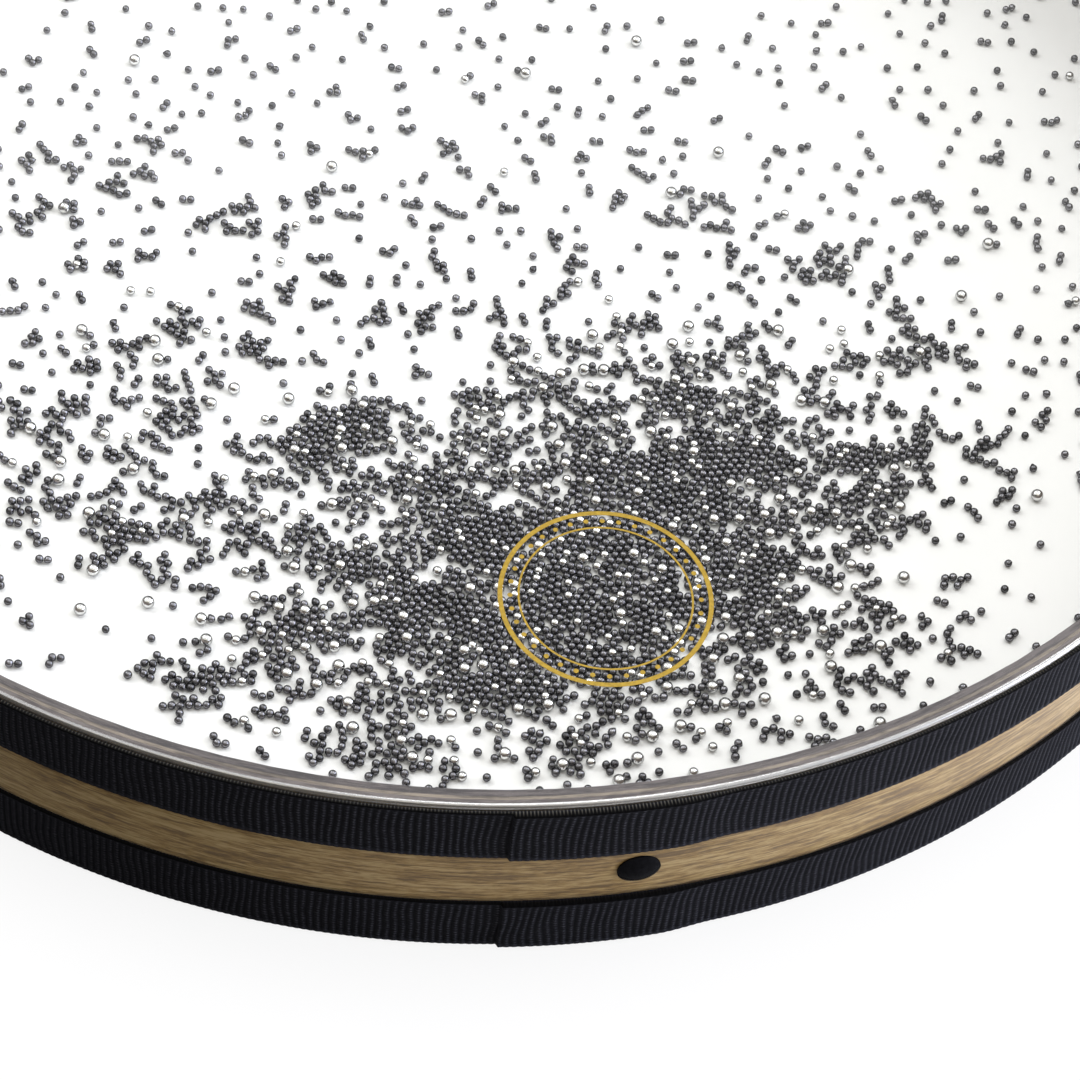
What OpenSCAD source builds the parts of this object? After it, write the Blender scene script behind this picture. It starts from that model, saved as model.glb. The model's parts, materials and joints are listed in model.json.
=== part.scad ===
// Ocean drum: a shallow laminated hoop closed by two film heads, with loose shot rolling between them.
// Millimetres. The origin is the centre of the lower face, +Z is up, and the fill plug looks along -Y.

/* [Drum] */
// Diameter over the collars of the heads
drum_d = 558; // [520:1:600]
// Height over both heads
drum_h = 73; // [70:0.5:90]

/* [Hoop] */
// Thickness of the outer ply
outer_ply_t = 2.4; // [2:0.1:4]
// Thickness of the core ply
core_ply_t = 0.9; // [0.6:0.1:2]
// Thickness of the inner ply
inner_ply_t = 2.4; // [2:0.1:4]
// Glue line between two plies
ply_glue_t = 0.05; // [0.02:0.01:0.1]
// Radius of the hoop's outer edges
outer_edge_r = 1.2; // [0.5:0.1:1.8]
// Radius of the hoop's inner edges
inner_edge_r = 0.5; // [0.3:0.1:1.5]

/* [Heads] */
// Thickness of each film head
film_t = 0.3; // [0.2:0.05:0.5]
// Glue line under each collar and ribbon
film_glue_t = 0.1; // [0.05:0.05:0.2]
// Height of each film's collar, which is glued round the hoop under its ribbon
collar_h = 12; // [6:0.5:16]

/* [Ribbons] */
// Thickness of the woven ribbon
ribbon_t = 1.1; // [0.5:0.1:1.5]
// Width of the upper ribbon
top_ribbon_w = 22.5; // [18:0.5:25]
// Width of the lower ribbon
bottom_ribbon_w = 22.5; // [18:0.5:25]
// Distance from a head's face to its ribbon
ribbon_inset = 1.6; // [1.6:0.1:4]
// Length of ribbon that lies double, from the plug to the cut end
lap_left = 38; // [20:1:60]
// Length of ribbon that lies double on the plug's other side
lap_right = 8; // [6:1:40]
// Length over which the cut end thins out
lap_cut_ramp = 3; // [1:0.5:12]
// Length over which the ribbon climbs onto itself
lap_climb_ramp = 18; // [4:1:30]

/* [Fill hole and plug] */
// Diameter of the fill hole
fill_hole_d = 10.2; // [8:0.1:11]
// Running clearance of the plug's shank, each side
plug_clearance = 0.08; // [0.02:0.01:0.1]
// Diameter of the plug's domed cap
plug_cap_d = 12.6; // [12:0.1:18]
// Height of the plug's dome
plug_dome_h = 1.9; // [1:0.1:4]
// Thickness of the flat flange under the dome
plug_flange_t = 0.5; // [0.3:0.1:1]
// Gap under the flange, so that it seats on the round hoop
plug_seat_gap = 0.05; // [0.02:0.01:0.2]
// How far the shank stands into the drum
plug_tail_l = 1.2; // [0.5:0.1:2]
// Bore of the hollow shank
plug_bore_d = 7; // [4:0.5:7]
// Wall left at the closed end of the shank's bore
plug_end_t = 1.2; // [0.8:0.1:2]
// Width of the two slots that split the shank into prongs
plug_slot_w = 1.2; // [0.8:0.1:2]
// Length of shank left whole beside the cap
plug_neck_l = 2; // [1:0.5:4]

/* [Printed ring] */
// Radius of the print's outer line
print_outer_r = 31; // [20:0.5:60]
// Distance from the drum's edge to the print's middle
print_inset = 68.5; // [64:0.5:200]
// Angle of the print round the drum from the plug
print_turn = 0.35; // [-180:0.05:180]
// Width of the outer line
print_line_w = 1.4; // [0.5:0.1:3]
// Width of the inner line
print_fine_w = 0.6; // [0.3:0.1:2]
// Gap between each line and the row of dots
print_gap = 1.4; // [0.5:0.1:4]
// Diameter of one dot
print_dot_d = 1.5; // [0.5:0.1:3]
// Number of dots in the row
print_dots = 36; // [12:1:60]
// Thickness of the ink, which lies level with the film
ink_t = 0.06; // [0.04:0.01:0.1]

/* [Shot] */
// Diameter of the dark shot
dark_d = 2.6; // [2:0.1:3]
// Diameter of the small steel balls
small_steel_d = 3; // [2.5:0.1:3.5]
// Diameter of the large steel balls
large_steel_d = 4; // [3:0.1:5]
// Gap drawn under a resting ball
rest_gap = 0.05; // [0.02:0.01:0.2]
// Free space kept between any two balls
ball_gap = 0.3; // [0.2:0.1:1]
// Free space kept between the shot and the wall
wall_gap = 0.5; // [0.3:0.1:2]
// Side of the square that each ball of the charge has to itself
ball_cell = 7.6; // [7.5:0.1:12]
// Number that starts the scatter of the charge
scatter_seed = 2207; // [1:1:9999]

/* [Hidden] */
$fn = 96;
hoop_fn = 256;
ball_fn = 16;
overrun = 1;
dark_groups = 7;
small_groups = 3;
large_groups = 2;

// Share of steel balls among stray shot and where the shot is thickest, and share of the steel balls that are small
stray_steel_share = 0.15;
thick_steel_share = 0.54;
small_steel_share = 0.58;

// Where the shot has gathered: x and y from the middle and spread, as shares of the field's radius, and fullness
pool_shares = [
    [0.05, -0.50, 0.13, 1.2],
    [0.15, -0.56, 0.14, 1.2],
    [-0.06, -0.62, 0.12, 1.1],
    [0.08, -0.68, 0.11, 1.0],
    [0.22, -0.44, 0.11, 1.0],
    [-0.11, -0.50, 0.08, 0.9],
    [0.33, -0.53, 0.07, 0.7],
    [0.42, -0.46, 0.06, 0.9],
    [0.23, -0.30, 0.06, 0.9],
    [0.08, -0.32, 0.08, 0.6],
    [-0.19, -0.31, 0.06, 0.9],
    [-0.28, -0.34, 0.05, 0.4],
    [-0.12, -0.39, 0.05, 0.7],
    [-0.28, -0.58, 0.06, 0.8],
    [-0.38, -0.64, 0.05, 0.5],
    [-0.22, -0.70, 0.06, 0.6],
    [-0.21, -0.77, 0.05, 0.5],
    [0.03, -0.78, 0.07, 0.45],
    [0.28, -0.74, 0.09, 0.4],
    [-0.49, -0.41, 0.06, 0.5],
    [-0.34, -0.41, 0.05, 0.4],
    [-0.55, -0.37, 0.05, 0.4],
    [-0.41, -0.24, 0.08, 0.3],
    [-0.53, -0.25, 0.07, 0.3],
    [-0.41, -0.13, 0.07, 0.25],
    [0.46, -0.29, 0.05, 0.4],
    [0.54, -0.25, 0.05, 0.4],
    [0.45, -0.12, 0.05, 0.4],
    [0.31, 0.00, 0.05, 0.3],
    [-0.30, 0.05, 0.05, 0.3],
    [-0.11, -0.13, 0.05, 0.3],
    [0.17, -0.20, 0.05, 0.35]
];
// Fullness away from the gathered shot
stray_share = 0.07;

// Place of the lead ball, as shares of the field's radius
lead_shares = [0.0, -0.40];
// Lanes of the lone balls: x and y at rest, direction in degrees, and length of the roll,
// with places and lengths as shares of the field's radius
lane_shares = [
    [-0.72, -0.60, 75, 0.20],
    [0.62, -0.52, -55, 0.20],
    [-0.14, 0.12, 165, 0.18],
    [0.30, 0.30, 20, 0.24]
];

drum_r = drum_d / 2;
hoop_r = drum_r - film_t - film_glue_t;
core_r = hoop_r - outer_ply_t - ply_glue_t;
inner_r = core_r - core_ply_t - ply_glue_t;
hoop_in_r = inner_r - inner_ply_t;
hoop_h = drum_h - 2 * film_t;

shoulder_r = outer_edge_r + film_t + film_glue_t;
ribbon_in_r = drum_r + film_glue_t;
ribbon_r = ribbon_in_r + ribbon_t;
wood_low_z = ribbon_inset + bottom_ribbon_w;
wood_high_z = drum_h - ribbon_inset - top_ribbon_w;

plug_z = (wood_low_z + wood_high_z) / 2;
plug_seat_r = hoop_r + plug_seat_gap;
plug_tip_r = hoop_in_r - plug_tail_l;
plug_shank_d = fill_hole_d - 2 * plug_clearance;

print_offset = drum_r - print_inset;
dot_row_r = print_outer_r - print_line_w - print_gap - print_dot_d / 2;
print_inner_r = dot_row_r - print_dot_d / 2 - print_gap;

floor_z = film_t + rest_gap;
largest_d = max(dark_d, small_steel_d, large_steel_d);
field_r = plug_tip_r - wall_gap - largest_d / 2;
cells = floor(field_r / ball_cell);
play = (ball_cell - largest_d - ball_gap) / 2;
draws = rands(0, 1, 4 * (2 * cells + 1) * (2 * cells + 1), scatter_seed);

// Hoop: three bent plies, one inside the other

// Half section of a ply, flat at x = 0 and rounded at x = t
module ply_section(t, edge_r) {
    square([t - edge_r, hoop_h]);
    translate([0, edge_r]) square([t, hoop_h - 2 * edge_r]);
    for (z = [edge_r, hoop_h - edge_r]) translate([t - edge_r, z]) circle(r = edge_r);
}

// The fill hole, on the drum's -Y side
module fill_hole() {
    translate([0, 0, plug_z]) rotate([90, 0, 0]) cylinder(h = drum_r + overrun, d = fill_hole_d);
}

module outer_ply() {
    color([0.55, 0.43, 0.27]) difference() {
        translate([0, 0, film_t]) rotate_extrude($fn = hoop_fn)
            translate([hoop_r - outer_ply_t, 0]) ply_section(outer_ply_t, outer_edge_r);
        fill_hole();
    }
}

module core_ply() {
    color([0.72, 0.62, 0.45]) difference() {
        translate([0, 0, film_t]) rotate_extrude($fn = hoop_fn)
            translate([core_r - core_ply_t, 0]) square([core_ply_t, hoop_h]);
        fill_hole();
    }
}

module inner_ply() {
    color([0.42, 0.36, 0.33]) difference() {
        translate([0, 0, film_t]) rotate_extrude($fn = hoop_fn)
            translate([inner_r, 0]) mirror([1, 0]) ply_section(inner_ply_t, inner_edge_r);
        fill_hole();
    }
}

// Print: two rings with a row of dots between them, its ink level with the clear head's face

module ink_ring(out_r, w) {
    difference() {
        circle(r = out_r);
        circle(r = out_r - w);
    }
}

module ink(h) {
    rotate(print_turn) translate([0, -print_offset, drum_h - ink_t]) linear_extrude(h) {
        ink_ring(print_outer_r, print_line_w);
        ink_ring(print_inner_r, print_fine_w);
        for (k = [1:print_dots]) rotate(k * 360 / print_dots) translate([dot_row_r, 0]) circle(d = print_dot_d);
    }
}

module head_print() {
    color([0.72, 0.55, 0.20]) ink(ink_t);
}

// Heads: a flat film whose edge turns over the hoop's rounded edge into a collar

// Half section of a head with its face at y = 0 and its collar hanging down
module head_section() {
    flat_r = drum_r - shoulder_r;
    translate([0, -film_t]) square([flat_r, film_t]);
    translate([flat_r, -shoulder_r]) intersection() {
        difference() {
            circle(r = shoulder_r);
            circle(r = shoulder_r - film_t);
        }
        square(shoulder_r);
    }
    translate([drum_r - film_t, -collar_h]) square([film_t, collar_h - shoulder_r]);
}

module clear_head() {
    color([0.85, 0.90, 0.93, 0.25]) difference() {
        translate([0, 0, drum_h]) rotate_extrude($fn = hoop_fn) head_section();
        ink(ink_t + overrun);
    }
}

module white_head() {
    color([0.95, 0.95, 0.93]) mirror([0, 0, 1]) rotate_extrude($fn = hoop_fn) head_section();
}

// Ribbons: one turn each, with the cut end glued over the start

// Point at radius r, a length of arc to the right of the plug
function beside_plug(r, arc) = r * [sin(arc / ribbon_r * 180 / PI), -cos(arc / ribbon_r * 180 / PI)];

// Outline that keeps the doubled stretch and slants its two ends
module lap_outline() {
    lap_r = ribbon_r + ribbon_t;
    far_r = lap_r + ribbon_t;
    polygon([
        [0, 0],
        beside_plug(ribbon_r, -lap_left - lap_cut_ramp),
        beside_plug(lap_r, -lap_left),
        beside_plug(far_r, -lap_left),
        beside_plug(far_r, (lap_right - lap_left) / 2),
        beside_plug(far_r, lap_right),
        beside_plug(lap_r, lap_right),
        beside_plug(ribbon_r, lap_right + lap_climb_ramp)
    ]);
}

module ribbon(w) {
    color([0.05, 0.05, 0.06]) linear_extrude(w) difference() {
        union() {
            circle(r = ribbon_r, $fn = hoop_fn);
            intersection() {
                circle(r = ribbon_r + ribbon_t, $fn = hoop_fn);
                lap_outline();
            }
        }
        circle(r = ribbon_in_r, $fn = hoop_fn);
    }
}

module top_ribbon() {
    translate([0, 0, wood_high_z]) ribbon(top_ribbon_w);
}

module bottom_ribbon() {
    translate([0, 0, ribbon_inset]) ribbon(bottom_ribbon_w);
}

// Fill plug: a domed cap on a hollow split shank, drawn with its axis along +Z and then turned to -Y

module plug_dome() {
    cap_r = plug_cap_d / 2;
    ball_r = (cap_r * cap_r + plug_dome_h * plug_dome_h) / (2 * plug_dome_h);
    intersection() {
        translate([0, 0, plug_dome_h - ball_r]) sphere(r = ball_r);
        cylinder(h = plug_dome_h, r = cap_r);
    }
}

module plug_shank() {
    l = plug_seat_r - plug_tip_r;
    difference() {
        cylinder(h = l, d = plug_shank_d);
        translate([0, 0, -overrun]) cylinder(h = l - plug_end_t + overrun, d = plug_bore_d);
        for (a = [0, 90]) rotate([0, 0, a]) translate([-plug_shank_d, -plug_slot_w / 2, -overrun])
            cube([2 * plug_shank_d, plug_slot_w, l - plug_neck_l + overrun]);
    }
}

module fill_plug() {
    color([0.06, 0.06, 0.07]) translate([0, 0, plug_z]) rotate([90, 0, 0]) {
        translate([0, 0, plug_tip_r]) plug_shank();
        translate([0, 0, plug_seat_r]) cylinder(h = plug_flange_t, d = plug_cap_d);
        translate([0, 0, plug_seat_r + plug_flange_t]) plug_dome();
    }
}

// Shot: one layer on the white head, each ball somewhere inside its own square

// Random number k of the square in column i and row j
function draw(i, j, k) = draws[((i + cells) * (2 * cells + 1) + j + cells) * 4 + k];
function place(i, j) = [i * ball_cell + (2 * draw(i, j, 0) - 1) * play, j * ball_cell + (2 * draw(i, j, 1) - 1) * play];
function total(v) = v * [for (n = v) 1];
function pooled(p, pool) = pool[3] * exp(-pow(norm(p / field_r - [pool[0], pool[1]]) / pool[2], 2) / 2);
function fullness(p) = stray_share + total([for (pool = pool_shares) pooled(p, pool)]);
function steel_share(p) = stray_steel_share + (thick_steel_share - stray_steel_share) * min(1, fullness(p));

// Distance of point p from a lone ball's lane
function lane_start(lane) = field_r * [lane[0], lane[1]];
function lane_way(lane) = [cos(lane[2]), sin(lane[2])];
function along_lane(p, lane) = min(max((p - lane_start(lane)) * lane_way(lane), 0), lane[3] * field_r);
function off_lane(p, lane) = norm(p - lane_start(lane) - along_lane(p, lane) * lane_way(lane));

lanes = concat([[lead_shares[0], lead_shares[1], 0, 0]], lane_shares);
function is_clear(p) = norm(p) <= field_r && min([for (lane = lanes) off_lane(p, lane)]) > largest_d + ball_gap;

// The charge: x, y and a number that says which kind each ball is
charge = [
    for (i = [-cells:cells]) for (j = [-cells:cells])
        let (p = place(i, j))
            if (is_clear(p) && draw(i, j, 2) < fullness(p)) [p[0], p[1], draw(i, j, 3) / steel_share(p)]
];
dark_places = [for (b = charge) if (b[2] >= 1) b];
small_places = [for (b = charge) if (b[2] < small_steel_share) b];
large_places = [for (b = charge) if (b[2] >= small_steel_share && b[2] < 1) b];

// Group k of n, from the drum's left side to its right
module ball_group(places, d, k, n) {
    for (m = [floor((k - 1) * len(places) / n) : floor(k * len(places) / n) - 1]) ball(places[m], d);
}

module ball(p, d) {
    translate([p[0], p[1], floor_z + d / 2]) sphere(d = d, $fn = ball_fn);
}

module dark_shot(k) {
    color([0.24, 0.24, 0.26]) ball_group(dark_places, dark_d, k, dark_groups);
}

module small_steel(k) {
    color([0.80, 0.80, 0.80]) ball_group(small_places, small_steel_d, k, small_groups);
}

module large_steel(k) {
    color([0.85, 0.85, 0.85]) ball_group(large_places, large_steel_d, k, large_groups);
}

module lead_ball() {
    color([0.85, 0.85, 0.85]) ball(field_r * lead_shares, large_steel_d);
}

module lone_ball(k) {
    color([0.85, 0.85, 0.85]) ball(lane_start(lane_shares[k - 1]), large_steel_d);
}

outer_ply();
core_ply();
inner_ply();
clear_head();
white_head();
top_ribbon();
bottom_ribbon();
fill_plug();
head_print();
lead_ball();
for (k = [1:len(lane_shares)]) lone_ball(k);
for (k = [1:dark_groups]) dark_shot(k);
for (k = [1:small_groups]) small_steel(k);
for (k = [1:large_groups]) large_steel(k);
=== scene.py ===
"""Looks of the ocean drum: film heads, ribbed ribbons, grained hoop and several thousand loose balls."""

import json
import math
import random

import bmesh
import bpy
import numpy as np
from mathutils import Matrix, Vector, kdtree, noise


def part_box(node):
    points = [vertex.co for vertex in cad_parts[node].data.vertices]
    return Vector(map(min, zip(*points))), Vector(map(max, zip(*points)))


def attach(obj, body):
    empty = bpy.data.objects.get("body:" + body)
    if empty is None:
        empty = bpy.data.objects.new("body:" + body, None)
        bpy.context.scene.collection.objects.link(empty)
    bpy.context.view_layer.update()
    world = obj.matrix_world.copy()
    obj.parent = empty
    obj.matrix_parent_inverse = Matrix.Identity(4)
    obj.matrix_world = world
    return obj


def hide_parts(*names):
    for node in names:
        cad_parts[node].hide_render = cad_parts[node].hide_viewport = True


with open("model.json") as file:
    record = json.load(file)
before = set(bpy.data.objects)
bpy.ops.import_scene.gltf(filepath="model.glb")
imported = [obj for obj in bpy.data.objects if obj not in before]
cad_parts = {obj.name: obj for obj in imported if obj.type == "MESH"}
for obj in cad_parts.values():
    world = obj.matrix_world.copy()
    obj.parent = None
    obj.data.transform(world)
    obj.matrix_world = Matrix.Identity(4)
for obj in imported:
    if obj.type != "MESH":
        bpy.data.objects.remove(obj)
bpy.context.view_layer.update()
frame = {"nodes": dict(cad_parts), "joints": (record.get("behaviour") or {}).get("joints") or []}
MM = 0.001
TURN = 2 * math.pi

# Camera, fitted to the photograph's rim curves

PHOTO_PX = 1080
FOCAL_PX = 3206.4
SENSOR_W = 36.0
CAMERA_PLACE = Vector((-179.3, -725.9, 807.3)) * MM
CAMERA_TURN = math.radians(-17.13)
CAMERA_TILT = math.radians(52.52)
CAMERA_ROLL = math.radians(7.50)
NEAREST_SEEN = 0.05
FARTHEST_SEEN = 20


def make_camera():
    forward = Vector((
        -math.sin(CAMERA_TURN) * math.cos(CAMERA_TILT),
        math.cos(CAMERA_TURN) * math.cos(CAMERA_TILT),
        -math.sin(CAMERA_TILT),
    ))
    level = Vector((math.cos(CAMERA_TURN), math.sin(CAMERA_TURN), 0))
    down = forward.cross(level)
    right = level * math.cos(CAMERA_ROLL) - down * math.sin(CAMERA_ROLL)
    up = -(level * math.sin(CAMERA_ROLL) + down * math.cos(CAMERA_ROLL))
    data = bpy.data.cameras.new("camera")
    data.lens = FOCAL_PX * SENSOR_W / PHOTO_PX
    data.sensor_width = SENSOR_W
    data.clip_start = NEAREST_SEEN
    data.clip_end = FARTHEST_SEEN
    camera = bpy.data.objects.new("camera", data)
    columns = Matrix((right, up, -forward)).transposed().to_4x4()
    camera.matrix_world = Matrix.Translation(CAMERA_PLACE) @ columns
    bpy.context.scene.collection.objects.link(camera)
    bpy.context.scene.camera = camera


make_camera()
bpy.context.scene.view_settings.view_transform = "Standard"

# Sizes in metres, most of them read from the frame


def node_radius(node):
    low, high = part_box(node)
    return (high.x - low.x) / 2


def node_height(node):
    low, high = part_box(node)
    return low.z, high.z


clear_collar_low, drum_top = node_height("clear_head")
_, white_collar_top = node_height("white_head")
drum_r = node_radius("clear_head")
# The hoop stands on the white film, so its foot is one film thickness up
film_t, _ = node_height("core_ply")
ribbon_r = node_radius("top_ribbon")
# The doubled stretch beside the plug reaches one ribbon thickness further towards -Y
ribbon_t = -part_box("top_ribbon")[0].y - ribbon_r
SHOULDER_R = 1.6 * MM
RIB_PITCH = 2.2 * MM
WEFT_PITCH = 1.3 * MM
STITCH_PITCH = 1.0 * MM
# Distance kept between surfaces that would otherwise lie in one plane
HAIR = 0.02 * MM

# Node trees. A source is a plain value or a (node, output) pair

# Sockets of a Mix node for each type of data: low, high and result
MIX_SOCKETS = {"FLOAT": (2, 3, 0), "RGBA": (6, 7, 2)}


def new_material(name):
    material = bpy.data.materials.new(name)
    material.use_nodes = True
    tree = material.node_tree
    tree.nodes.clear()
    return material, tree


def feed(node, socket, source):
    """Gives a node's socket its source."""
    if isinstance(source, tuple) and isinstance(source[0], bpy.types.Node):
        node.id_data.links.new(source[0].outputs[source[1]], node.inputs[socket])
    else:
        node.inputs[socket].default_value = source


def add(tree, kind, **values):
    """A node of that kind, with settings given by attribute and the sources of sockets by name."""
    node = tree.nodes.new(kind)
    for key, value in values.items():
        if hasattr(node, key):
            setattr(node, key, value)
        else:
            feed(node, key.replace("_", " "), value)
    return node


def calc(tree, operation, *sources, **settings):
    """Result of a Math node."""
    node = add(tree, "ShaderNodeMath", operation=operation, **settings)
    for k, source in enumerate(sources):
        feed(node, k, source)
    return node, "Value"


def part_along(tree, source, along):
    """How far a vector reaches along a direction."""
    node = add(tree, "ShaderNodeVectorMath", operation="DOT_PRODUCT")
    feed(node, 0, source)
    feed(node, 1, along)
    return node, "Value"


def map_range(tree, source, edges, **values):
    """Goes from 0 to 1, where nothing else is said, as the source goes from one edge to the other."""
    node = add(tree, "ShaderNodeMapRange", Value=source, From_Min=edges[0], From_Max=edges[1], **values)
    return node, "Result"


def ramp(tree, source, *stops):
    """Colour at the source's place between stops, each of them a place and a colour."""
    node = add(tree, "ShaderNodeValToRGB", Fac=source)
    elements = node.color_ramp.elements
    while len(elements) < len(stops):
        elements.new(0.5)
    for element, (place, colour) in zip(elements, stops):
        element.position = place
        element.color = (*colour, 1)
    return node, "Color"


def mix(tree, kind, factor, low, high, **settings):
    """Goes from low to high as the factor goes from 0 to 1."""
    node = add(tree, "ShaderNodeMix", data_type=kind, **settings)
    low_socket, high_socket, result = MIX_SOCKETS[kind]
    for socket, source in ((0, factor), (low_socket, low), (high_socket, high)):
        feed(node, socket, source)
    return node, result


def mix_shaders(tree, share, low, high):
    node = add(tree, "ShaderNodeMixShader", Fac=share)
    feed(node, 1, low)
    feed(node, 2, high)
    return node, "Shader"


def attribute(tree, name):
    return add(tree, "ShaderNodeAttribute", attribute_name=name), "Fac"


def hoop_axes(tree):
    """Angle round the drum's axis, height, and distance from the axis."""
    where = tree.nodes.new("ShaderNodeTexCoord")
    parts = add(tree, "ShaderNodeSeparateXYZ", Vector=(where, "Object"))
    x, y = (parts, "X"), (parts, "Y")
    angle = calc(tree, "ARCTAN2", y, x)
    squares = calc(tree, "ADD", calc(tree, "MULTIPLY", x, x), calc(tree, "MULTIPLY", y, y))
    return angle, (parts, "Z"), calc(tree, "SQRT", squares)


def noise_round(tree, cells, **values):
    """Noise with that many cells to the metre round the hoop, up it and out from it."""
    along, up, out = cells
    angle, height, radius = hoop_axes(tree)
    place = add(
        tree, "ShaderNodeCombineXYZ",
        X=calc(tree, "MULTIPLY", angle, drum_r * along),
        Y=calc(tree, "MULTIPLY", height, up),
        Z=calc(tree, "MULTIPLY", radius, out),
    )
    return add(tree, "ShaderNodeTexNoise", Vector=(place, "Vector"), Scale=1.0, **values), "Fac"


def noise_over(tree, scale, detail):
    """Noise with that many cells to the metre."""
    where = tree.nodes.new("ShaderNodeTexCoord")
    return add(tree, "ShaderNodeTexNoise", Vector=(where, "Object"), Scale=scale, Detail=detail), "Fac"


def wave_round(tree, along, up):
    """A sine wave that runs round the hoop and up it, in radians to the metre."""
    angle, height, _ = hoop_axes(tree)
    arc = calc(tree, "MULTIPLY", angle, drum_r * along)
    rise = calc(tree, "MULTIPLY", height, up)
    return calc(tree, "SINE", calc(tree, "ADD", arc, rise))


def bump(tree, shader, height, strength, distance):
    """Roughens a shader by a height."""
    node = add(tree, "ShaderNodeBump", Height=height, Strength=strength, Distance=distance)
    feed(shader, "Normal", (node, "Normal"))


def show(tree, shader, output="BSDF"):
    """Puts a shader on the surface."""
    add(tree, "ShaderNodeOutputMaterial", Surface=(shader, output))


# Materials

FINE_BUMP = 0.1 * MM
COARSE_BUMP = 0.2 * MM
# Wood: noise cells to the metre round the hoop, up it and out from it, and the weight of two of them
GRAIN_CELLS = (75, 900, 900)
BROAD_CELLS = (12, 120, 120)
PORE_CELLS = (330, 2600, 2600)
BROAD_SHARE = 0.4
PORE_SHARE = 0.35
# Places of the tones between the grain's least and most
SIDE_STOPS = (0.38, 0.49, 0.63)
EDGE_STOPS = (0.38, 0.62)
# Upright part of the surface's normal where a ply's side turns into its edge
PLY_EDGE = (0.25, 0.6)
# Ribbon: its threads, the weft over the ribs, how worn the threads are, and the stitches
THREAD_CELLS = (700, 1500, 700)
WEFT_SHARE = 0.32
WEAR_CONTRAST = 1.5
THREAD_SHARE = 0.5
STITCH_LENGTH = 2.0
STITCH_GAP = 0.6
STITCH_COLOUR = (0.13, 0.12, 0.10, 1)
# Clear film: gloss of the bent edge, the share of the shoulder where it is full, and gloss elsewhere
BENT_GLOSS = 0.45
BENT_SHARE = 0.6
FLAT_GLOSS = 0.08
# Swing of a ball's tone and of its roughness with the marks on it
MARKS_TONE = 0.5
MARKS_SHINE = 0.12


def wood(name, side_tones, edge_tones):
    """Grain that runs round the hoop on its sides, and a stained grain on its top and bottom edges."""
    material, tree = new_material(name)
    grain = noise_round(tree, GRAIN_CELLS, Detail=6.0, Roughness=0.65, Distortion=0.3)
    broad = noise_round(tree, BROAD_CELLS, Detail=3.0)
    pores = noise_round(tree, PORE_CELLS, Detail=2.0)
    with_broad = calc(tree, "MULTIPLY_ADD", broad, BROAD_SHARE, grain)
    with_pores = calc(tree, "MULTIPLY_ADD", pores, PORE_SHARE, with_broad)
    level = calc(tree, "ADD", with_pores, -(BROAD_SHARE + PORE_SHARE) / 2)
    side = ramp(tree, level, *zip(SIDE_STOPS, side_tones))
    edge = ramp(tree, level, *zip(EDGE_STOPS, edge_tones))
    surface = tree.nodes.new("ShaderNodeNewGeometry")
    normal = add(tree, "ShaderNodeSeparateXYZ", Vector=(surface, "Normal"))
    is_edge = map_range(tree, calc(tree, "ABSOLUTE", (normal, "Z")), PLY_EDGE)
    shader = add(
        tree, "ShaderNodeBsdfPrincipled", Base_Color=mix(tree, "RGBA", is_edge, side, edge),
        Roughness=0.45, Specular_IOR_Level=0.5, Sheen_Weight=0.5, Sheen_Roughness=0.4,
    )
    bump(tree, shader, with_pores, 0.3, COARSE_BUMP)
    show(tree, shader)
    return material


def ribbon_cloth():
    """Black woven ribbon: worn threads, ribs crossed by a slanting weft with painted shade in their grooves
    and a painted highlight on one flank, and light stitches along its upper edge.
    """
    material, tree = new_material("ribbon_cloth")
    threads = noise_round(tree, THREAD_CELLS, Detail=5.0, Roughness=0.7, Distortion=0.6)
    weft = wave_round(tree, TURN / (2 * RIB_PITCH), TURN / WEFT_PITCH)
    crossed = calc(tree, "MULTIPLY_ADD", weft, WEFT_SHARE, 1 - WEFT_SHARE)
    worn = calc(tree, "MULTIPLY_ADD", threads, WEAR_CONTRAST, 0.5 * (1 - WEAR_CONTRAST))
    # Painted shade in the grooves between the ribs and a painted highlight on their lit flank, crossed by
    # the weft and the wear
    relief_and_rib_light = calc(tree, "MULTIPLY", attribute(tree, "crest"), calc(tree, "MULTIPLY", crossed, worn))
    grainy = calc(tree, "MULTIPLY_ADD", threads, THREAD_SHARE, relief_and_rib_light)
    inside = calc(tree, "SUBTRACT", 1.0, attribute(tree, "edge"))
    tone = ramp(
        tree, calc(tree, "MULTIPLY", grainy, inside),
        (0.0, (0.0015, 0.0015, 0.0015)), (0.35, (0.008, 0.008, 0.0095)), (1.0, (0.07, 0.07, 0.085)),
    )
    loops = wave_round(tree, TURN / STITCH_PITCH, 0)
    spots = calc(tree, "MULTIPLY_ADD", loops, STITCH_LENGTH, -STITCH_GAP, use_clamp=True)
    narrow = calc(tree, "POWER", attribute(tree, "seam"), 2.0)
    stitch = calc(tree, "MULTIPLY", spots, narrow)
    shader = add(
        tree, "ShaderNodeBsdfPrincipled", Base_Color=mix(tree, "RGBA", stitch, tone, STITCH_COLOUR),
        Roughness=0.6, Specular_IOR_Level=0.03, Sheen_Weight=0.05, Sheen_Tint=(0.6, 0.62, 0.8, 1),
    )
    bump(tree, shader, grainy, 0.5, COARSE_BUMP)
    show(tree, shader)
    return material


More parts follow.
